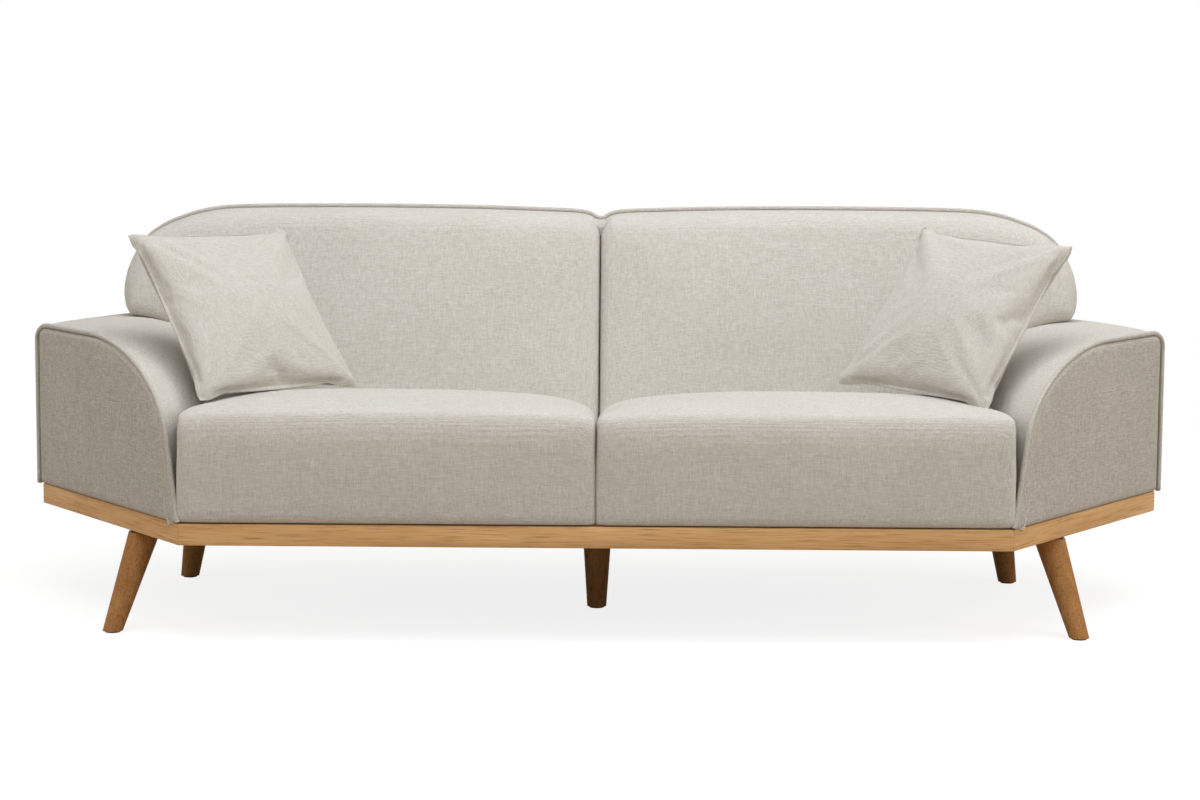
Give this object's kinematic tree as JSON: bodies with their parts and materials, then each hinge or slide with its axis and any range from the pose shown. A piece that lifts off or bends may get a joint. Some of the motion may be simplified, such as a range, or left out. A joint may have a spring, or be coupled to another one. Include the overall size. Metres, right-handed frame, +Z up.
{
  "type": "upholstered two-part sofa",
  "caption": "Upholstered sofa with angled piped arms, a sprung seat, a mitred timber plinth, splayed tapered wooden legs and loose throw pillows.",
  "frame": {"origin": "on the floor, under the middle of the sofa", "axes": "+Z up, front faces -Y, +X to the right when looking along +Y"},
  "size_m": [2.22, 0.86, 0.754],
  "materials": {
    "upholstery": "linen-look plain weave, light warm grey",
    "piping": "plain weave over cord, slightly darker",
    "throw_fabric": "linen-look plain weave, light warm grey",
    "plinth_wood": "light oak, clear satin lacquer, grain along the rail",
    "leg_wood": "walnut-stained beech, satin",
    "frame_timber": "planed softwood, unfinished",
    "plywood": "plywood, unfinished",
    "spring_steel": "drawn spring wire",
    "zinc_steel": "bright zinc plated",
    "pad_felt": "needled felt",
    "webbing": "woven elastic webbing",
    "dust_cloth": "non-woven black dust cloth",
    "glide_felt": "pressed felt"
  },
  "bodies": {
    "sofa": {"arm_front_board_left": "plywood", "arm_front_board_right": "plywood", "arm_front_panel_left": "upholstery", "arm_front_panel_right": "upholstery", "arm_outer_panel_left": "upholstery", "arm_outer_panel_right": "upholstery", "arm_pad_left": "upholstery", "arm_pad_right": "upholstery", "arm_rear_board_left": "plywood", "arm_rear_board_right": "plywood", "arm_rear_panel_left": "upholstery", "arm_rear_panel_right": "upholstery", "arm_stretchers_left": "frame_timber", "arm_stretchers_right": "frame_timber", "back_border": "upholstery", "back_center_posts": "frame_timber", "back_cushion_left": "upholstery", "back_cushion_right": "upholstery", "back_lower_rail": "frame_timber", "back_outer_panel": "upholstery", "back_post_left": "frame_timber", "back_post_right": "frame_timber", "back_top_rail": "frame_timber", "back_webbing": "webbing", "back_wing_left": "plywood", "back_wing_right": "plywood", "center_cross_rail": "frame_timber", "dust_cover": "dust_cloth", "felt_glides": "glide_felt", "hanger_bolts": "zinc_steel", "leg_center": "leg_wood", "leg_front_left": "leg_wood", "leg_front_right": "leg_wood", "leg_plates": "zinc_steel", "leg_platforms": "plywood", "leg_rear_left": "leg_wood", "leg_rear_right": "leg_wood", "piping_arm_left": "piping", "piping_arm_right": "piping", "piping_back": "piping", "plate_screws": "zinc_steel", "rail_angled_left": "plinth_wood", "rail_angled_right": "plinth_wood", "rail_front": "plinth_wood", "rail_rear": "plinth_wood", "rail_side_left": "plinth_wood", "rail_side_right": "plinth_wood", "seat_center_bearer": "frame_timber", "seat_cushion_left": "upholstery", "seat_cushion_right": "upholstery", "seat_end_bearer_left": "frame_timber", "seat_end_bearer_right": "frame_timber", "seat_front_bearer": "frame_timber", "seat_rear_bearer": "frame_timber", "seat_springs": "spring_steel", "spring_clips": "spring_steel", "spring_pad": "pad_felt"},
    "throw_pillow_left": {"pillow_left": "throw_fabric"},
    "throw_pillow_right": {"pillow_right": "throw_fabric"}
  },
  "joints": [
    {"name": "pillow_left_lift", "type": "slide", "parent": "sofa", "child": "throw_pillow_left", "axis": [0, -0.5, 0.866], "range_m": [0, 0.45]},
    {"name": "pillow_right_lift", "type": "slide", "parent": "sofa", "child": "throw_pillow_right", "axis": [0, -0.5, 0.866], "range_m": [0, 0.45]}
  ]
}
